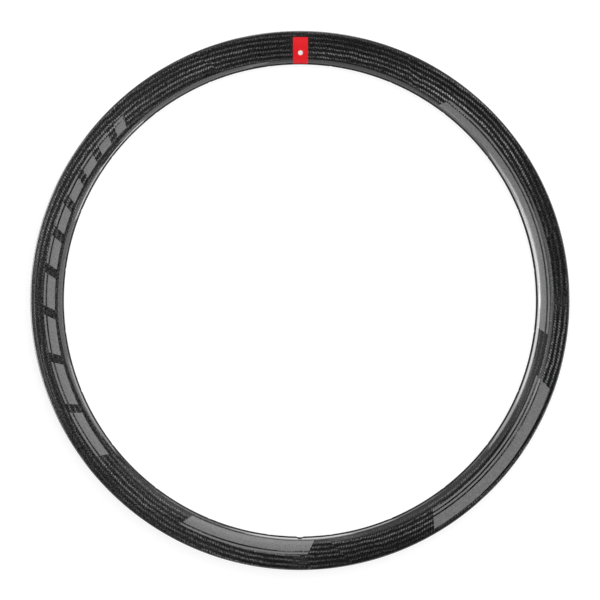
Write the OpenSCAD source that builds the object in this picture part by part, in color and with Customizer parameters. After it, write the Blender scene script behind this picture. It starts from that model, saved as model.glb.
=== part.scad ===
// Deep-section carbon bicycle rim for a glued tubular tyre, lying flat on its side.
// The wheel's axle runs along Z, the red label is at +Y and the valve hole at -Y.

/* [Rim section] */
// Diameter over the two lips of the rim
rim_od = 633; // [560:1:640]
// Depth of the rim from the lips to the spoke bed
rim_depth = 39.3; // [34:0.1:55]
// Width over the two side walls
rim_w = 24.2; // [22:0.1:28]
// Distance from the lips to the flat lands on which the rim lies
land_inset = 7; // [5:0.1:9]
// Radial width of each flat land
land_w = 3.5; // [2:0.1:6]
// Radius of the rounded spoke bed, seen in section
nose_r = 6.5; // [5.5:0.1:7.5]
// Radius of the curve from each land out to its lip
shoulder_r = 15.5; // [12:0.5:20]
// Radius of each rounded lip
lip_r = 0.9; // [0.6:0.05:1.2]
// Radius of the hollow bed in which the tyre is glued
bed_r = 12.5; // [12:0.1:15]

/* [Laminate] */
// Thickness of the side walls
side_wall = 1.2; // [1:0.1:2]
// Thickness of the spoke bed, where the nipples pull
nose_wall = 2.7; // [2:0.1:4]
// Thickness of the tyre bed
bed_wall = 1.6; // [1.2:0.1:2.5]
// Radius inside the corners between the tyre bed and the side walls
corner_r = 1.4; // [0.8:0.1:2]

/* [Holes] */
// Number of spoke holes, an even number
spoke_count = 24; // [16:2:36]
// Diameter of a spoke hole
spoke_hole_d = 4.6; // [3:0.1:5]
// Tilt of the spoke holes towards the two hub flanges, in degrees
spoke_lean = 5; // [0:0.5:8]
// Diameter of the valve hole
valve_d = 6.5; // [6:0.1:7.5]
// Diameter of the countersink round the valve hole in the spoke bed
valve_sink_d = 9.6; // [8:0.1:10]

/* [Label and graphics] */
// Thickness of the label's and the graphics' film
film = 0.12; // [0.1:0.01:0.3]
// Gap below each film, which its glue fills
film_gap = 0.02; // [0.01:0.01:0.05]
// Width of the red label
label_w = 17.5; // [10:0.1:30]
// Distance from the lips to the outer end of the red label
label_top = 7.5; // [5:0.1:12]
// Distance from the spoke bed to the inner end of the red label
label_foot = 0.8; // [0.5:0.1:4]
// Distance of the red label's middle from the line through the valve hole
label_shift = 0.7; // [-3:0.1:3]
// Diameter of the white dot on the red label
dot_d = 5.6; // [3:0.1:8]
// Distance from the spoke bed to the middle of the white dot
dot_inset = 13.5; // [10:0.1:20]
// Angle between a bar's slanted ends and the rim's radius
end_lean = 30; // [0:1:40]
// Radial gap between a bar and the pinstripe beside it
print_gap = 1.9; // [1:0.1:3]
// Radial width of a pinstripe
pin_w = 2.1; // [1:0.1:3]

/* [Left graphic] */
// Clock angle at which the row of bars starts, in degrees
left_from = 230; // [225:1:240]
// Number of bars, each shorter than the one before
left_count = 10; // [3:1:10]
// Length of the first bar, in degrees
left_bar = 11.5; // [5:0.5:12]
// Length of each bar as a share of the one before
left_fade = 0.86; // [0.75:0.01:0.92]
// Gap between two bars, in degrees
left_gap = 2.2; // [1:0.1:3]
// Distance from the spoke bed to the bars
left_inset = 10.4; // [8:0.1:14]
// Radial width of the bars
left_w = 9; // [5:0.1:10]

/* [Right graphic] */
// Clock angle at which the long stripe starts, in degrees
stripe_from = 35; // [20:1:50]
// Clock angle at which the long stripe ends, in degrees
stripe_to = 96; // [70:1:100]
// Distance from the spoke bed to the long stripe
stripe_inset = 4; // [3:0.1:6]
// Radial width of the long stripe
stripe_w = 8.2; // [5:0.1:9]
// Clock angle at which the broad band starts, in degrees
band_from = 106; // [104:1:120]
// Clock angle at which the broad band ends, in degrees
band_to = 146; // [130:1:155]
// Distance from the lips to the broad band
band_top = 5.5; // [4:0.1:8]
// Radial width of the broad band
band_w = 12; // [6:0.1:12]

/* [Bottom graphic] */
// Clock angle at which the lower bar starts, in degrees
bottom_from = 176; // [165:1:185]
// Clock angle at which the lower bar ends, in degrees
bottom_to = 206; // [190:1:215]
// Distance from the spoke bed to the lower bar
bottom_inset = 5; // [4:0.1:8]
// Radial width of the lower bar
bottom_w = 11.6; // [6:0.1:12]

/* [Hidden] */
$fn = 120;

r_out = rim_od / 2;
r_in = r_out - rim_depth;
half_w = rim_w / 2;
over = 1;
// Largest gap between a curve of the section and its straight stretches
chord_gap = 0.03;

// The flank curves from the flat land into the nose of the section
r_land_out = r_out - land_inset;
r_land_in = r_land_out - land_w;
r_nose = r_in + nose_r;
flank_run = r_land_in - r_nose;
flank_r = (flank_run * flank_run + half_w * half_w - nose_r * nose_r) / (2 * (half_w - nose_r));
flank_c = [r_land_in, half_w - flank_r];
flank_tilt = asin(flank_run / (flank_r - nose_r));

// The shoulder, the lip and the tyre bed are each tangent to the next
shoulder_c = [r_land_out, half_w - shoulder_r];
r_lip = r_out - lip_r;
shoulder_tilt = asin((r_lip - r_land_out) / (shoulder_r - lip_r));
lip_z = shoulder_c[1] + (shoulder_r - lip_r) * cos(shoulder_tilt);
lip_c = [r_lip, lip_z];
bed_c = [r_lip + sqrt(pow(bed_r + lip_r, 2) - lip_z * lip_z), 0];
bed_turn = atan2(lip_z, bed_c[0] - r_lip);

// The hollow keeps a wall's thickness from the flank, the shoulder, the tyre bed and the nose
hollow_apex = r_in + nose_wall;
hollow_flank_r = flank_r - side_wall;
hollow_run = r_land_in - hollow_apex;
hollow_nose_r = (pow(hollow_flank_r, 2) - pow(flank_c[1], 2) - hollow_run * hollow_run)
    / (2 * (hollow_flank_r - hollow_run));
hollow_nose_c = [hollow_apex + hollow_nose_r, 0];
hollow_tilt = asin((r_land_in - hollow_nose_c[0]) / (hollow_flank_r - hollow_nose_r));
bed_back_r = bed_r + bed_wall;
hollow_shoulder_r = shoulder_r - side_wall;

// The corner's centre lies where a circle about the shoulder's centre meets one about the tyre bed's
to_bed = bed_c - shoulder_c;
corner_far = (to_bed * to_bed + pow(hollow_shoulder_r - corner_r, 2) - pow(bed_back_r + corner_r, 2))
    / (2 * norm(to_bed));
corner_side = sqrt(pow(hollow_shoulder_r - corner_r, 2) - corner_far * corner_far);
bed_way = to_bed / norm(to_bed);
corner_c = shoulder_c + corner_far * bed_way + corner_side * [-bed_way[1], bed_way[0]];
corner_tilt = atan2(corner_c[0] - shoulder_c[0], corner_c[1] - shoulder_c[1]);
corner_turn = atan2(corner_c[1], bed_c[0] - corner_c[0]);

// Clock angles run clockwise from +Y, as seen from above
function clock(turn) = 90 - turn;
function polar(r, a) = [r * cos(a), r * sin(a)];
function backwards(points) = [for (i = [len(points) - 1 : -1 : 0]) points[i]];
function steps(r, from, to) = ceil(abs(to - from) / (2 * acos(1 - chord_gap / r)));

// Points along an arc, shifted outwards by grow
function arc(c, r, from, to, grow = 0) =
    let (n = steps(r, from, to)) [for (i = [0 : n]) c + polar(r + grow, from + (to - from) * i / n)];

// The upper side from the nose to the shoulder, grown by the thickness of any film below
function skin(grow = 0) = concat(
    arc([r_nose, 0], nose_r, 180, 90 + flank_tilt, grow),
    arc(flank_c, flank_r, 90 + flank_tilt, 90, grow),
    arc(shoulder_c, shoulder_r, 90, 90 - shoulder_tilt, grow));

function lip_and_bed() = concat(
    arc(lip_c, lip_r, 90 - shoulder_tilt, 0),
    arc(lip_c, lip_r, 0, -bed_turn),
    arc(bed_c, bed_r, 180 - bed_turn, 180));

function hollow() = concat(
    arc(hollow_nose_c, hollow_nose_r, 180, 90 + hollow_tilt),
    arc(flank_c, hollow_flank_r, 90 + hollow_tilt, 90),
    arc(shoulder_c, hollow_shoulder_r, 90, 90 - corner_tilt),
    arc(corner_c, corner_r, 90 - corner_tilt, -corner_turn),
    arc(bed_c, bed_back_r, 180 - corner_turn, 180));

// A half outline that starts and ends on the mid-plane, closed by its mirror image
module both_halves(half) {
    lower = [for (i = [1 : len(half) - 2]) [half[i][0], -half[i][1]]];
    polygon(concat(half, backwards(lower)));
}

module rim_section() {
    difference() {
        both_halves(concat(skin(), lip_and_bed()));
        both_halves(hollow());
    }
}

// A hole through the spoke bed only, tilted up or down as side is 1 or -1
module spoke_hole(turn, side) {
    rotate([0, 0, clock(turn)])
        translate([r_in, 0, 0])
            rotate([0, 90 + side * spoke_lean, 0])
                cylinder(d = spoke_hole_d, h = 3 * nose_wall, center = true);
}

// A hole through the spoke bed and the tyre bed, countersunk on the hub's side
module valve_hole(turn) {
    rotate([0, 0, clock(turn)])
        translate([r_in - over, 0, 0])
            rotate([0, 90, 0]) {
                cylinder(d = valve_d, h = rim_depth + 2 * over);
                cylinder(d1 = valve_sink_d + 2 * over, d2 = valve_d,
                    h = (valve_sink_d - valve_d) / 2 + over);
            }
}

module rim() {
    valve_turn = 180;
    pitch = 360 / spoke_count;
    color([0.13, 0.13, 0.14])
        difference() {
            rotate_extrude() rim_section();
            for (i = [0 : spoke_count - 1])
                spoke_hole(valve_turn + pitch * (i + 0.5), i % 2 == 0 ? 1 : -1);
            valve_hole(valve_turn);
        }
}

// A ring of film on the upper side, between two radii and on top of any layers below it
module film_ring(r_from, r_to, layers_below = 0) {
    top = (layers_below + 1) * (film + film_gap);
    bottom = top - film;
    rotate_extrude()
        intersection() {
            polygon(concat(skin(bottom), backwards(skin(top))));
            translate([r_from, 0]) square([r_to - r_from, rim_w]);
        }
}

// A point on the slanted line that leaves the spoke bed at a clock angle
function on_end_line(turn, along) = polar(r_in, clock(turn)) + polar(along, clock(turn + end_lean));

// The slice of the rim between two slanted end lines
module slice(from, to) {
    reach = 2 * rim_depth;
    n = ceil((to - from) / 20);
    outer = [for (i = [0 : n]) on_end_line(from + (to - from) * i / n, reach)];
    linear_extrude(height = rim_w)
        polygon(concat(outer, [on_end_line(to, -over), on_end_line(from, -over)]));
}

// A printed bar, its inner edge at a distance from the spoke bed
module bar(inset, w, from, to) {
    intersection() {
        film_ring(r_in + inset, r_in + inset + w);
        slice(from, to);
    }
}

module red_label() {
    color([0.86, 0.05, 0.09])
        intersection() {
            film_ring(r_in + label_foot, r_out - label_top);
            translate([label_shift - label_w / 2, 0, 0]) cube([label_w, r_out, rim_w]);
        }
}

module label_dot() {
    color("white")
        intersection() {
            film_ring(r_in, r_out, layers_below = 1);
            translate([label_shift, r_in + dot_inset, 0]) cylinder(d = dot_d, h = rim_w);
        }
}

module left_bars() {
    color([0.54, 0.54, 0.54])
        for (i = [0 : left_count - 1]) {
            before = left_bar * (1 - pow(left_fade, i)) / (1 - left_fade);
            from = left_from + before + i * left_gap;
            to = from + left_bar * pow(left_fade, i);
            bar(left_inset, left_w, from, to);
            bar(left_inset + left_w + print_gap, pin_w, from, to);
        }
}

module right_stripes() {
    color([0.46, 0.46, 0.46]) {
        bar(stripe_inset, stripe_w, stripe_from, stripe_to);
        bar(stripe_inset + stripe_w + print_gap, pin_w, stripe_from, stripe_to);
    }
}

module right_band() {
    inset = rim_depth - band_top - band_w;
    color([0.46, 0.46, 0.46]) {
        bar(inset, band_w, band_from, band_to);
        for (i = [1 : 2])
            bar(inset - i * (print_gap + pin_w), pin_w, band_from, band_to);
    }
}

module bottom_bars() {
    color([0.5, 0.5, 0.5]) {
        bar(bottom_inset, bottom_w, bottom_from, bottom_to);
        bar(bottom_inset + bottom_w + print_gap, pin_w, bottom_from, bottom_to);
    }
}

rim();
red_label();
label_dot();
left_bars();
right_stripes();
right_band();
bottom_bars();
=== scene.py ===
"""A deep-section carbon bicycle rim that lies flat, seen from straight above."""
import math

import bmesh
import bpy
import numpy as np
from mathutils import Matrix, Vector


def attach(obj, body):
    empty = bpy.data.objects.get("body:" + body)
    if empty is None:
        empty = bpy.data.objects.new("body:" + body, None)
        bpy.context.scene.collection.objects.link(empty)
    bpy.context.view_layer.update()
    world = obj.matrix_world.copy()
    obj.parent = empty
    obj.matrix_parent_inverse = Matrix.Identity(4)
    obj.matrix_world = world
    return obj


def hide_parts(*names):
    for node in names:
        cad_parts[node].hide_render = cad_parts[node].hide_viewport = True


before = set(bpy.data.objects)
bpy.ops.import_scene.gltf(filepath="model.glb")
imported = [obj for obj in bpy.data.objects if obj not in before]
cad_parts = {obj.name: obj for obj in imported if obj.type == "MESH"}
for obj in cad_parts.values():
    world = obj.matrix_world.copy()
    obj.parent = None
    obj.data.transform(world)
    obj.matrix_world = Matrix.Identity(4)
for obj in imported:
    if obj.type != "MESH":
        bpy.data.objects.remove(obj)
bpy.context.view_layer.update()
MM = 0.001

# Rim section
R_OUT = 316.5 * MM
R_IN = R_OUT - 39.3 * MM
HALF_W = 12.1 * MM
R_LAND_OUT = R_OUT - 7 * MM
R_LAND_IN = R_LAND_OUT - 3.5 * MM
NOSE_R = 6.5 * MM
SHOULDER_R = 15.5 * MM
LIP_R = 0.9 * MM
BED_R = 12.5 * MM
SIDE_WALL = 1.2 * MM
NOSE_WALL = 2.7 * MM
BED_WALL = 1.6 * MM
CORNER_R = 1.4 * MM

# Holes
SPOKES = 24
SPOKE_HOLE_R = 2.3 * MM
SPOKE_LEAN = math.radians(5)
VALVE_R = 3.25 * MM
VALVE_SINK_R = 4.8 * MM
VALVE_TURN = 180

# Films
FILM = 0.12 * MM
FILM_GAP = 0.02 * MM
LABEL_W = 17.5 * MM
LABEL_TOP = 7.5 * MM
LABEL_FOOT = 0.8 * MM
LABEL_SHIFT = 0.7 * MM
DOT_R = 2.8 * MM
DOT_INSET = 13.5 * MM

# Prints: the slant of their ends, the thin lines beside them, and for each its inset, width and clock degrees
END_LEAN = math.radians(30)
PRINT_GAP = 1.9 * MM
PIN_W = 2.1 * MM
LEFT_INSET, LEFT_W = 10.4 * MM, 9 * MM
LEFT_START, LEFT_COUNT = 230, 10
LEFT_BAR, LEFT_FADE, LEFT_GAP = 11.5, 0.86, 2.2
STRIPE_INSET, STRIPE_W, STRIPE_SPAN = 4 * MM, 8.2 * MM, (35, 96)
BLOCK_INSET, BLOCK_W, BLOCK_SPAN = 21.8 * MM, 12 * MM, (106, 146)
BOTTOM_INSET, BOTTOM_W, BOTTOM_SPAN = 5 * MM, 11.6 * MM, (176, 206)

# Steps round the ring and round a hole
TURNS = 600
HOLLOW_TURNS = 240
HOLE_SIDES = 40

# The flank's circle, tangent to the flat land and to the nose
R_NOSE = R_IN + NOSE_R
FLANK_RUN = R_LAND_IN - R_NOSE
FLANK_R = (FLANK_RUN**2 + HALF_W**2 - NOSE_R**2) / (2 * (HALF_W - NOSE_R))
FLANK_Z = HALF_W - FLANK_R
FLANK_TILT = math.asin(FLANK_RUN / (FLANK_R - NOSE_R))


def arc(centre, r, start, end, count):
    """Points (radius, height) along an arc between two angles in radians."""
    angles = np.linspace(start, end, count + 1)
    return [(centre[0] + r * math.cos(a), centre[1] + r * math.sin(a)) for a in angles]


def joined(*runs):
    """One line of points from several, without repeats where they meet."""
    line = []
    for run in runs:
        line += [p for p in run if not line or math.dist(p, line[-1]) > 1e-7]
    return line


def half_sections():
    """The upper halves of the outer skin, of the lip and tyre bed, and of the hollow."""
    right = math.pi / 2
    r_lip = R_OUT - LIP_R
    shoulder = (R_LAND_OUT, HALF_W - SHOULDER_R)
    shoulder_tilt = math.asin((r_lip - R_LAND_OUT) / (SHOULDER_R - LIP_R))
    lip = (r_lip, shoulder[1] + (SHOULDER_R - LIP_R) * math.cos(shoulder_tilt))
    bed = (r_lip + math.sqrt((BED_R + LIP_R) ** 2 - lip[1] ** 2), 0)
    bed_turn = math.atan2(lip[1], bed[0] - r_lip)
    skin = joined(arc((R_NOSE, 0), NOSE_R, math.pi, right + FLANK_TILT, 18),
                  arc((R_LAND_IN, FLANK_Z), FLANK_R, right + FLANK_TILT, right, 16),
                  arc(shoulder, SHOULDER_R, right, right - shoulder_tilt, 8),
                  arc(lip, LIP_R, right - shoulder_tilt, 0, 5))
    tyre_bed = joined(arc(lip, LIP_R, 0, -bed_turn, 4), arc(bed, BED_R, math.pi - bed_turn, math.pi, 8))

    apex = R_IN + NOSE_WALL
    inner_flank = FLANK_R - SIDE_WALL
    run = R_LAND_IN - apex
    inner_nose = (inner_flank**2 - FLANK_Z**2 - run**2) / (2 * (inner_flank - run))
    inner_tilt = math.asin((R_LAND_IN - apex - inner_nose) / (inner_flank - inner_nose))
    back = BED_R + BED_WALL
    inner_shoulder = SHOULDER_R - SIDE_WALL
    gap = math.dist(shoulder, bed)
    far = (gap**2 + (inner_shoulder - CORNER_R) ** 2 - (back + CORNER_R) ** 2) / (2 * gap)
    aside = math.sqrt((inner_shoulder - CORNER_R) ** 2 - far**2)
    way = ((bed[0] - shoulder[0]) / gap, (bed[1] - shoulder[1]) / gap)
    corner = (shoulder[0] + far * way[0] - aside * way[1], shoulder[1] + far * way[1] + aside * way[0])
    corner_tilt = math.atan2(corner[0] - shoulder[0], corner[1] - shoulder[1])
    corner_turn = math.atan2(corner[1], bed[0] - corner[0])
    hollow = joined(arc((apex + inner_nose, 0), inner_nose, math.pi, right + inner_tilt, 6),
                    arc((R_LAND_IN, FLANK_Z), inner_flank, right + inner_tilt, right, 5),
                    arc(shoulder, inner_shoulder, right, right - corner_tilt, 2),
                    arc(corner, CORNER_R, right - corner_tilt, -corner_turn, 4),
                    arc(bed, back, math.pi - corner_turn, math.pi, 5))
    return skin, tyre_bed, hollow


def both_halves(half):
    """A closed outline from a half that starts and ends on the mid-plane."""
    return half + [(r, -z) for r, z in half[-2:0:-1]]


def skin_height(r, grow=0.0):
    """Height of the upper side at a radius, or of a film's thickness above it."""
    if r < R_LAND_IN - (FLANK_R + grow) * math.sin(FLANK_TILT):
        return math.sqrt((NOSE_R + grow) ** 2 - (r - R_NOSE) ** 2)
    if r < R_LAND_IN:
        return FLANK_Z + math.sqrt((FLANK_R + grow) ** 2 - (r - R_LAND_IN) ** 2)
    if r < R_LAND_OUT:
        return HALF_W + grow
    return HALF_W - SHOULDER_R + math.sqrt((SHOULDER_R + grow) ** 2 - (r - R_LAND_OUT) ** 2)


def at(r, turn, z):
    """The point at a radius and a clock angle in degrees, clockwise from +Y as seen from above."""
    a = math.radians(turn)
    return (r * math.sin(a), r * math.cos(a), z)


def new_object(name, mesh):
    obj = bpy.data.objects.new(name, mesh)
    bpy.context.scene.collection.objects.link(obj)
    return obj


def from_bmesh(name, bm):
    mesh = bpy.data.meshes.new(name)
    bm.to_mesh(mesh)
    bm.free()
    return new_object(name, mesh)


def add_ring(bm, outline, turns, inward=False):
    """Adds a ring with a closed outline, its faces turned outward, or inward for a hollow."""
    rows = [[bm.verts.new(at(r, 360 * i / turns, z)) for r, z in outline] for i in range(turns)]
    for i in range(turns):
        a, b = rows[i - 1], rows[i]
        for j in range(len(outline)):
            quad = (a[j - 1], b[j - 1], b[j], a[j])
            bm.faces.new(quad if inward else quad[::-1])


def add_cone(bm, start, end, r_start, r_end):
    axis = end - start
    place = axis.to_track_quat("Z", "Y").to_matrix().to_4x4()
    place.translation = (start + end) / 2
    bmesh.ops.create_cone(bm, cap_ends=True, segments=HOLE_SIDES, radius1=r_start, radius2=r_end,
                          depth=axis.length, matrix=place)


def cut(obj, cutter):
    """Takes the cutter's shape out of obj and removes the cutter."""
    modifier = obj.modifiers.new("holes", "BOOLEAN")
    modifier.operation = "DIFFERENCE"
    modifier.solver = "MANIFOLD"
    modifier.object = cutter
    evaluated = obj.evaluated_get(bpy.context.evaluated_depsgraph_get())
    mesh = bpy.data.meshes.new_from_object(evaluated)
    mesh.materials.clear()
    obj.modifiers.clear()
    obj.data = mesh
    bpy.data.objects.remove(cutter)


def rim_object(skin, tyre_bed, hollow):
    bm = bmesh.new()
    add_ring(bm, both_halves(joined(skin, tyre_bed)), TURNS)
    add_ring(bm, both_halves(hollow), HOLLOW_TURNS, inward=True)
    rim = from_bmesh("rim_shell", bm)

    over = 1 * MM
    straight_out = Vector(at(1, VALVE_TURN, 0))
    bm = bmesh.new()
    for i in range(SPOKES):
        side = 1 if i % 2 == 0 else -1
        turn = VALVE_TURN + 360 / SPOKES * (i + 0.5)
        outward = Vector(at(math.cos(SPOKE_LEAN), turn, -side * math.sin(SPOKE_LEAN)))
        middle = Vector(at(R_IN, turn, 0))
        reach = 1.5 * NOSE_WALL * outward
        add_cone(bm, middle - reach, middle + reach, SPOKE_HOLE_R, SPOKE_HOLE_R)
    add_cone(bm, (R_IN - over) * straight_out, (R_OUT + over) * straight_out, VALVE_R, VALVE_R)
    cut(rim, from_bmesh("holes", bm))

    bm = bmesh.new()
    sink = VALVE_SINK_R - VALVE_R
    add_cone(bm, (R_IN - over) * straight_out, (R_IN + sink) * straight_out, VALVE_SINK_R + over, VALVE_R)
    cut(rim, from_bmesh("valve_sink", bm))
    return rim


def distance_to_line(points, line):
    """Each point's distance to a line of points, and how far along the line it is."""
    a, b = np.array(line[:-1]), np.array(line[1:])
    step = b - a
    length = np.hypot(*step.T)
    before = np.concatenate([[0], np.cumsum(length)[:-1]])
    best = np.full(len(points), np.inf)
    along = np.zeros(len(points))
    for start, d, size, far in zip(a, step, length, before):
        t = np.clip((points - start) @ d / size**2, 0, 1)
        gap = np.hypot(*(points - start - t[:, None] * d).T)
        nearer = gap < best
        best[nearer] = gap[nearer]
        along[nearer] = far + t[nearer] * size
    return best, along


def section_points(co):
    return np.c_[np.hypot(co[:, 0], co[:, 1]), np.abs(co[:, 2])]


def finish_rim(rim, skin):
    """Stores each point's place along the section, and gives the skin one material and the rest the other."""
    mesh = rim.data
    co = np.empty(len(mesh.vertices) * 3)
    mesh.vertices.foreach_get("co", co)
    along = distance_to_line(section_points(co.reshape(-1, 3)), skin)[1]
    mesh.attributes.new("across", "FLOAT", "POINT").data.foreach_set("value", along / MM)
    middle = np.empty(len(mesh.polygons) * 3)
    mesh.polygons.foreach_get("center", middle)
    gap = distance_to_line(section_points(middle.reshape(-1, 3)), skin)[0]
    on_skin = gap < 0.03 * MM
    mesh.polygons.foreach_set("material_index", np.where(on_skin, 0, 1).astype(np.int32))
    smooth(rim)


def smooth(obj):
    obj.data.shade_smooth()
    obj.data.set_sharp_from_angle(angle=math.radians(30))


def film_faces(layers_below):
    """How far a film's lower and upper faces lie above the rim's skin."""
    top = (layers_below + 1) * (FILM + FILM_GAP)
    return top - FILM, top


def add_film(bm, radii, turn_at, count, layers_below=0):
    """Adds a closed film on the upper side: a row at each radius, in count steps of turn_at(r, step)."""
    low, high = (
        [[bm.verts.new(at(r, turn_at(r, i), skin_height(r, grow))) for r in radii] for i in range(count + 1)]
        for grow in film_faces(layers_below))
    last = len(radii) - 1
    for i in range(count):
        for j in range(last):
            bm.faces.new((high[i][j], high[i][j + 1], high[i + 1][j + 1], high[i + 1][j]))
            bm.faces.new((low[i][j], low[i + 1][j], low[i + 1][j + 1], low[i][j + 1]))
        bm.faces.new((low[i][0], high[i][0], high[i + 1][0], low[i + 1][0]))
        bm.faces.new((low[i][last], low[i + 1][last], high[i + 1][last], high[i][last]))
    for j in range(last):
        bm.faces.new((low[0][j], low[0][j + 1], high[0][j + 1], high[0][j]))
        bm.faces.new((low[count][j], high[count][j], high[count][j + 1], low[count][j + 1]))


def lean_shift(r):
    """How far a bar's slanted end has turned, in degrees, on its way from the spoke bed to a radius."""
    along = math.sqrt(r**2 - (R_IN * math.sin(END_LEAN)) ** 2) - R_IN * math.cos(END_LEAN)
    return math.degrees(math.asin(along * math.sin(END_LEAN) / r))


def add_bar(bm, inset, width, start, end):
    """Adds a printed bar with slanted ends, its inner edge at a distance from the spoke bed."""
    rows = max(2, round(width / (0.8 * MM)))
    radii = [R_IN + inset + width * k / rows for k in range(rows + 1)]
    count = math.ceil((end - start) / 0.6)
    add_film(bm, radii, lambda r, i: start + (end - start) * i / count + lean_shift(r), count)


def left_bars(bm):
    start, length = LEFT_START, LEFT_BAR
    for _ in range(LEFT_COUNT):
        add_bar(bm, LEFT_INSET, LEFT_W, start, start + length)
        add_bar(bm, LEFT_INSET + LEFT_W + PRINT_GAP, PIN_W, start, start + length)
        start += length + LEFT_GAP
        length *= LEFT_FADE


def right_stripes(bm):
    add_bar(bm, STRIPE_INSET, STRIPE_W, *STRIPE_SPAN)
    add_bar(bm, STRIPE_INSET + STRIPE_W + PRINT_GAP, PIN_W, *STRIPE_SPAN)


def right_band(bm):
    add_bar(bm, BLOCK_INSET, BLOCK_W, *BLOCK_SPAN)
    for i in (1, 2):
        add_bar(bm, BLOCK_INSET - i * (PRINT_GAP + PIN_W), PIN_W, *BLOCK_SPAN)


def bottom_bars(bm):
    add_bar(bm, BOTTOM_INSET, BOTTOM_W, *BOTTOM_SPAN)
    add_bar(bm, BOTTOM_INSET + BOTTOM_W + PRINT_GAP, PIN_W, *BOTTOM_SPAN)


def red_label(bm):
    first, last = R_IN + LABEL_FOOT, R_OUT - LABEL_TOP
    rows, count = 90, 24
    radii = [first + (last - first) * (k / rows) ** 1.4 for k in range(rows + 1)]
    left = LABEL_SHIFT - LABEL_W / 2
    add_film(bm, radii, lambda r, i: math.degrees(math.asin((left + LABEL_W * i / count) / r)), count)


def label_dot(bm):
    """A round film that lies on the label."""
    rings, sides = 6, 48
    centre = (LABEL_SHIFT, R_IN + DOT_INSET)

    def face(grow):
        def point(x, y):
            return bm.verts.new((x, y, skin_height(math.hypot(x, y), grow)))

        def ring_point(k, i):
            reach, angle = DOT_R * k / rings, 2 * math.pi * i / sides
            return point(centre[0] + reach * math.cos(angle), centre[1] + reach * math.sin(angle))

        circles = [[ring_point(k, i) for i in range(sides)] for k in range(1, rings + 1)]
        return point(*centre), circles

    (low_mid, low), (high_mid, high) = (face(grow) for grow in film_faces(1))
    for i in range(sides):
        bm.faces.new((high_mid, high[0][i - 1], high[0][i]))
        bm.faces.new((low_mid, low[0][i], low[0][i - 1]))
        for k in range(rings - 1):
            bm.faces.new((high[k][i - 1], high[k + 1][i - 1], high[k + 1][i], high[k][i]))
            bm.faces.new((low[k][i - 1], low[k][i], low[k + 1][i], low[k + 1][i - 1]))
        bm.faces.new((low[-1][i - 1], low[-1][i], high[-1][i], high[-1][i - 1]))


class Nodes:
    """Builds a material's nodes, with sums written as method calls."""

    def __init__(self, name):
        self.material = bpy.data.materials.new(name)
        self.material.use_nodes = True
        self.tree = self.material.node_tree
        self.shader = self.tree.nodes["Principled BSDF"]

    def add(self, kind, **settings):
        node = self.tree.nodes.new(kind)
        for key, value in settings.items():
            setattr(node, key, value)
        return node

    def put(self, value, socket):
        if isinstance(value, bpy.types.NodeSocket):
            self.tree.links.new(value, socket)
        else:
            socket.default_value = value

    def math(self, operation, *values):
        node = self.add("ShaderNodeMath", operation=operation)
        for value, socket in zip(values, node.inputs):
            self.put(value, socket)
        return node.outputs[0]

    def ramp(self, value, low, high, to_low=0.0, to_high=1.0):
        """A smooth step of value from low to high."""
        node = self.add("ShaderNodeMapRange", interpolation_type="SMOOTHSTEP")
        for item, socket in zip((value, low, high, to_low, to_high), node.inputs):
            self.put(item, socket)
        return node.outputs[0]

    def noise(self, position, scale, detail=2.0):
        node = self.add("ShaderNodeTexNoise")
        self.put(position, node.inputs["Vector"])
        node.inputs["Scale"].default_value = scale
        node.inputs["Detail"].default_value = detail
        return node.outputs["Fac"]

    def vector(self, x, y, z=0.0):
        node = self.add("ShaderNodeCombineXYZ")
        for value, socket in zip((x, y, z), node.inputs):
            self.put(value, socket)
        return node.outputs[0]

    def mix(self, factor, a, b):
        node = self.add("ShaderNodeMix", data_type="RGBA")
        self.put(factor, node.inputs["Factor"])
        self.put(a, node.inputs["A"])
        self.put(b, node.inputs["B"])
        return node.outputs["Result"]


def set_shader(nodes, **values):
    for name, value in values.items():
        nodes.put(value, nodes.shader.inputs[name.replace("_", " ")])


def grey(v):
    return (v, v, v, 1.0)


# The cloth: a twill whose tows lie at 45 degrees to its rows, and whose rows run round the ring
TOWS_ROUND = 608
ROW_MM = 5.6
LEAN = 2
SEAM_LEAN = 0.14
WANDER_MM = 1.6
WANDER_SCALE, PATCH_SCALE, GRAIN_SCALE = 45, 11, 650
# The cloth's dark colour between the tows, and the strongest painted sheen of its tows
DARK, SHINE = 0.003, 0.4
# Where each piece of cloth starts (clock degrees), how far in its rows lie (mm) and their drift (mm a degree)
CLOTH_PIECES = (
    (0, 23.6, 0.022), (26, 25.3, -0.099), (45, 22.9, 0.095), (76, 28.9, 0.111),
    (90, 28.3, 0.09), (163, 18.8, 0.059), (171, 22.4, 0.059), (180, 21.0, 0.157),
    (206, 24.9, 0.085), (262, 8.6, 0.114), (315, 15.2, 0.193), (339, 21.8, 0.117))
# How strongly the rows' painted sheen shows at some clock angles
SHEEN = (
    (0, 0.36), (24, 0.45), (34, 0.95), (54, 0.85), (64, 0.28), (70, 0.15), (82, 0.2), (94, 0.75),
    (150, 0.5), (166, 0.35), (174, 0.5), (180, 0.9), (204, 0.8), (228, 0.55), (250, 0.3), (274, 0.22),
    (282, 0.35), (292, 0.9), (312, 0.9), (318, 0.65), (345, 0.55), (360, 0.36))
# The rows' painted sheen is strongest along a wavy band: its middle and swing (mm), and the clock angle where
# it lies lowest
BAND_MID, BAND_SWING, BAND_LOW = 26, 7, 10
# Each set of tows gives way to the other over this much of a sine, and then keeps this share of its painted
# sheen
CROSSING, HIDDEN = 0.15, 0.04
# The clear coat starts this far from the middle of the spoke bed (mm) and of the valve hole
COAT_START, COAT_FULL = 4.1, 5.2
BARE_R, BARE_EDGE = 5.4 * MM, 5.9 * MM


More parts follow.
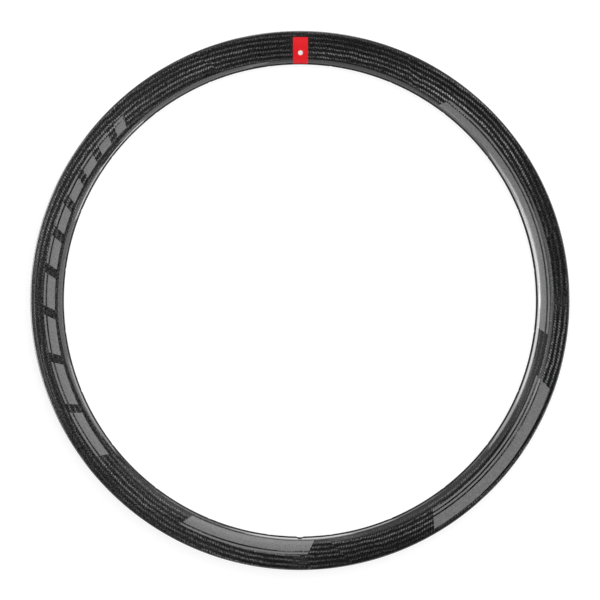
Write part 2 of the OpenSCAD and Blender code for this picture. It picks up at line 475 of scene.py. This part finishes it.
def cloth_drift(n, clock, across):
    """How far in the cloth's rows are shifted, in millimetres, with a step at each slanted seam."""
    _, offset, slope = CLOTH_PIECES[0]
    total = n.math("MULTIPLY_ADD", clock, slope, offset)
    along = n.math("MULTIPLY_ADD", across, SEAM_LEAN, n.math("SUBTRACT", clock, 25 * SEAM_LEAN))
    for (start, before, steepness), (seam, offset, slope) in zip(CLOTH_PIECES, CLOTH_PIECES[1:]):
        change = (offset - slope * seam) - (before - steepness * start)
        step = n.math("MULTIPLY_ADD", clock, slope - steepness, change)
        total = n.math("MULTIPLY_ADD", n.math("GREATER_THAN", along, seam), step, total)
    return total


def painted_sheen_by_clock(n, clock):
    """How strongly the rows' painted sheen shows, by clock angle."""
    node = n.add("ShaderNodeValToRGB")
    n.put(n.math("DIVIDE", clock, 360), node.inputs[0])
    stops = node.color_ramp.elements
    stops[0].color, stops[1].color = grey(SHEEN[0][1]), grey(SHEEN[-1][1])
    for angle, strength in SHEEN[1:-1]:
        stops.new(angle / 360).color = grey(strength)
    return node.outputs["Color"]


def carbon_skin():
    n = Nodes("carbon_skin")
    place = n.add("ShaderNodeTexCoord").outputs["Object"]
    xyz = n.add("ShaderNodeSeparateXYZ")
    n.put(place, xyz.inputs[0])
    turn = n.math("ARCTAN2", xyz.outputs["X"], xyz.outputs["Y"])
    clock = n.math("MULTIPLY", n.math("FRACT", n.math("ADD", n.math("DIVIDE", turn, 2 * math.pi), 1)), 360)
    across = n.add("ShaderNodeAttribute", attribute_name="across").outputs["Fac"]

    u = n.math("MULTIPLY", turn, TOWS_ROUND / (2 * math.pi))
    wander = n.math("MULTIPLY_ADD", n.noise(place, WANDER_SCALE), 2 * WANDER_MM, -WANDER_MM)
    drift = n.math("ADD", cloth_drift(n, clock, across), wander)
    v = n.math("DIVIDE", n.math("ADD", across, drift), ROW_MM)
    i = n.math("SUBTRACT", u, n.math("MULTIPLY", v, LEAN))
    j = n.math("ADD", u, n.math("MULTIPLY", v, LEAN))

    def floats(side, along):
        """Painted sheen of one set of tows: highest amid each stretch that lies on top, 0 below the others.
        """
        across_tow = n.math("MULTIPLY_ADD", n.math("FRACT", side), 2, -1)
        along_tow = n.math("MULTIPLY_ADD", n.math("FRACT", n.math("DIVIDE", along, 4)), 4, -1)
        crown = n.math("MULTIPLY_ADD", n.math("MULTIPLY", across_tow, across_tow), -1, 1)
        rise = n.math("MAXIMUM", n.math("MULTIPLY_ADD", n.math("MULTIPLY", along_tow, along_tow), -1, 1), 0)
        return n.math("MULTIPLY", crown, rise)

    warp = floats(i, n.math("SUBTRACT", j, n.math("FLOOR", i)))
    weft = floats(j, n.math("SUBTRACT", n.math("SUBTRACT", n.math("FLOOR", j), i), 1))

    # As in the photo, each quarter of the ring shows one set of tows as painted sheen; it stays so under any
    # light
    quarter = n.math("SINE", n.math("MULTIPLY", turn, 2))
    warp_share = n.ramp(quarter, CROSSING, -CROSSING, HIDDEN, 1.0)
    weft_share = n.ramp(quarter, -CROSSING, CROSSING, HIDDEN, 1.0)
    tows = n.math("ADD", n.math("MULTIPLY", warp, warp_share), n.math("MULTIPLY", weft, weft_share))

    around = n.vector(xyz.outputs["X"], xyz.outputs["Y"], n.math("MULTIPLY", v, 0.05))
    patches = n.ramp(n.noise(around, PATCH_SCALE), 0.36, 0.62, 0.4, 1.0)
    grain = n.ramp(n.noise(place, GRAIN_SCALE, 0), 0.25, 0.75, 0.2, 1.75)
    # The painted sheen is strongest along the wavy band
    swing = n.math("COSINE", n.math("MULTIPLY_ADD", turn, 2, -2 * math.radians(BAND_LOW)))
    below_band = n.math("MULTIPLY_ADD", swing, BAND_SWING, -BAND_MID)
    off_band = n.math("ABSOLUTE", n.math("ADD", across, below_band))
    band = n.math("MULTIPLY", n.ramp(off_band, 12, 2, 0.4, 1.0), n.ramp(across, 7, 12, 0.4, 1.0))
    sheen = painted_sheen_by_clock(n, clock)
    strength = n.math("MULTIPLY", n.math("MULTIPLY", patches, band), sheen)
    # The tows' brightness is painted sheen, scaled by the band, the clock angle and random patches
    shine = n.math("MULTIPLY", n.math("MULTIPLY", tows, strength), SHINE)
    # Between the rows the cloth has painted haze: a little lighter where the tows' painted sheen is weaker,
    # and on the left
    left = n.math("MULTIPLY", n.ramp(clock, 175, 215), n.ramp(clock, 355, 315))
    dark_and_painted_haze = n.math("MULTIPLY_ADD", left, 0.013, n.math("MULTIPLY_ADD", sheen, -0.006, DARK + 0.006))
    value = n.math("MULTIPLY", n.math("ADD", shine, dark_and_painted_haze), grain)

    # The clear coat ends at the spoke bed and round the valve hole
    squares = [n.math("POWER", xyz.outputs[axis], 2) for axis in "XZ"]
    from_valve = n.math("SQRT", n.math("ADD", *squares))
    valve_side = n.math("LESS_THAN", xyz.outputs["Y"], 0)
    at_valve = n.math("MULTIPLY", valve_side, n.ramp(from_valve, BARE_EDGE, BARE_R))
    coat = n.math("MULTIPLY", n.ramp(across, COAT_START, COAT_FULL), n.math("SUBTRACT", 1, at_valve))

    bump = n.add("ShaderNodeBump")
    bump.inputs["Distance"].default_value = 0.1 * MM
    bump.inputs["Strength"].default_value = 0.3
    n.put(n.math("ADD", warp, weft), bump.inputs["Height"])
    set_shader(n, Base_Color=n.mix(value, grey(0.0), grey(1.0)), Roughness=0.5, Specular_IOR_Level=0.03,
               Normal=bump.outputs[0], Coat_Weight=coat, Coat_Roughness=0.05, Coat_IOR=1.5)
    return n.material


def raw_carbon():
    n = Nodes("raw_carbon")
    place = n.add("ShaderNodeTexCoord").outputs["Object"]
    value = n.ramp(n.noise(place, 350, 4), 0.3, 0.7, 0.012, 0.03)
    set_shader(n, Base_Color=n.mix(value, grey(0.0), grey(1.0)), Roughness=0.6, Specular_IOR_Level=0.3)
    return n.material


def print_material(name, colour, speckle=0.2, coat=1.0):
    n = Nodes(name)
    place = n.add("ShaderNodeTexCoord").outputs["Object"]
    fleck = n.ramp(n.noise(place, 700, 1), 0.25, 0.75)
    darker, lighter = [tuple(c * (1 + share) for c in colour[:3]) + (1.0,) for share in (-speckle, speckle)]
    set_shader(n, Base_Color=n.mix(fleck, darker, lighter), Roughness=0.5, Specular_IOR_Level=0.1,
               Coat_Weight=coat, Coat_Roughness=0.05, Coat_IOR=1.5)
    return n.material


def piece(name, node, material, draw):
    bm = bmesh.new()
    draw(bm)
    bmesh.ops.recalc_face_normals(bm, faces=bm.faces)
    obj = from_bmesh(name, bm)
    obj.data.materials.append(material)
    smooth(obj)
    hand_over(obj, node)


def hand_over(obj, node):
    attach(obj, "root")
    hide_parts(node)


# The overhead lamp's level, and the panels: clock angle, half-turn, lowest and highest elevation, radiance
KEY_LEVEL = 3.5
PANELS = (
    ("left_wide", 270, 48, 8, 42, 2),
    ("left_near", 252, 18, 13, 42, 5.5),
    ("left_far", 288, 18, 12, 41.5, 5.5),
    ("left_core", 270, 23, 18, 40.5, 7.5),
    ("left_above", 256, 16, 40.5, 44, 4),
    ("left_mid", 272, 26, 44, 66, 0.6),
    ("left_high", 270, 23, 68, 76.5, 1.9),
    ("top_wide", 0, 36, -4, 36, 2.4),
    ("top_middle", 357, 20, -2, 32, 4.8),
    ("top_core", 360, 12, 2, 38, 5.3),
    ("right_upper", 63, 12, -2, 37, 4.4),
    ("right_wide", 90, 30, 0, 45, 2.3),
    ("right_lower", 117, 7, -2, 35, 6.5),
    ("right_low", 131, 8, -4, 22, 11.5),
    ("bottom_near", 152, 18, 2, 43, 2.2),
    ("bottom_far", 198, 28, 4, 43.5, 1.4),
    ("top_haze_left", 318, 32, 38, 54, 0.8),
    ("top_haze_right", 18, 30, 38, 53, 0.9),
)


def panel(name, azimuth, half_turn, low, high, radiance):
    """A soft panel, seen only in reflections, that spans some clock degrees and elevations."""
    distance = 8
    up, reach = math.radians((low + high) / 2), math.radians((high - low) / 2)
    width = 2 * distance * math.cos(up) * math.tan(math.radians(half_turn))
    height = 2 * distance * math.tan(reach)
    lamp = bpy.data.lights.new(name, "AREA")
    lamp.shape = "RECTANGLE"
    lamp.size, lamp.size_y = width, height
    lamp.energy = radiance * math.pi * width * height
    obj = new_object(name, lamp)
    obj.location = at(distance * math.cos(up), azimuth, distance * math.sin(up))
    obj.rotation_euler = Vector(obj.location).to_track_quat("Z", "Y").to_euler()
    obj.visible_camera = False
    obj.visible_diffuse = False


def build_key():
    lamp = bpy.data.lights.new("overhead", "AREA")
    lamp.size = 3
    lamp.energy = KEY_LEVEL * math.pi * lamp.size**2
    obj = new_object("overhead", lamp)
    obj.location = (0.5, 0.9, 3)
    obj.rotation_euler = Vector(obj.location).to_track_quat("Z", "Y").to_euler()
    obj.visible_camera = False
    obj.visible_glossy = False


def build_floor():
    reach = 60
    corners = [(x * reach, y * reach, -HALF_W) for x, y in ((-1, -1), (1, -1), (1, 1), (-1, 1))]
    mesh = bpy.data.meshes.new("floor")
    mesh.from_pydata(corners, [], [(0, 1, 2, 3)])
    floor = new_object("floor", mesh)
    n = Nodes("floor")
    rays = n.add("ShaderNodeLightPath").outputs
    seen = n.math("ADD", rays["Is Camera Ray"], rays["Is Glossy Ray"])
    seen = n.math("ADD", seen, rays["Is Transmission Ray"])
    set_shader(n, Base_Color=grey(0.24), Roughness=1.0, Specular_IOR_Level=0.0, Emission_Color=grey(1.0),
               Emission_Strength=n.math("MULTIPLY", seen, 0.85))
    mesh.materials.append(n.material)


def build_world():
    world = bpy.data.worlds.new("studio")
    bpy.context.scene.world = world
    world.use_nodes = True
    tree = world.node_tree
    place = tree.nodes.new("ShaderNodeTexCoord")
    xyz = tree.nodes.new("ShaderNodeSeparateXYZ")
    tree.links.new(place.outputs["Generated"], xyz.inputs[0])
    fall = tree.nodes.new("ShaderNodeMapRange")
    fall.interpolation_type = "SMOOTHSTEP"
    near_horizon, near_top = (-0.1, 1.4), (0.72, 0.04)
    for socket, value in zip(fall.inputs[1:5], (near_horizon[0], near_top[0], near_horizon[1], near_top[1])):
        socket.default_value = value
    tree.links.new(xyz.outputs["Z"], fall.inputs[0])
    background = tree.nodes["Background"]
    background.inputs["Color"].default_value = grey(1.0)
    tree.links.new(fall.outputs[0], background.inputs["Strength"])


def build_lights():
    build_key()
    for settings in PANELS:
        panel(*settings)


def build_camera():
    camera = bpy.data.cameras.new("camera")
    camera.lens = 500
    camera.sensor_width = 36
    camera.clip_end = 100
    obj = new_object("camera", camera)
    obj.location = (0.14 * MM, 0.52 * MM, 9.79)
    bpy.context.scene.camera = obj


skin, tyre_bed, hollow = half_sections()
rim = rim_object(skin, tyre_bed, hollow)
finish_rim(rim, skin)
rim.data.materials.append(carbon_skin())
rim.data.materials.append(raw_carbon())
hand_over(rim, "rim")

left_print = print_material("left_print", grey(0.204))
stripe_print = print_material("stripe_print", grey(0.167))
band_print = print_material("band_print", grey(0.178))
bottom_print = print_material("bottom_print", grey(0.194))
red_film = print_material("red_film", (0.78, 0.005, 0.012, 1.0), speckle=0.03, coat=0.12)
white_film = print_material("white_film", grey(0.87), speckle=0.03)
piece("left_graphic", "left_bars", left_print, left_bars)
piece("right_stripe_graphic", "right_stripes", stripe_print, right_stripes)
piece("right_band_graphic", "right_band", band_print, right_band)
piece("bottom_graphic", "bottom_bars", bottom_print, bottom_bars)
piece("label", "red_label", red_film, red_label)
piece("label_spot", "label_dot", white_film, label_dot)

build_floor()
build_world()
build_lights()
build_camera()
bpy.context.scene.view_settings.view_transform = "Standard"
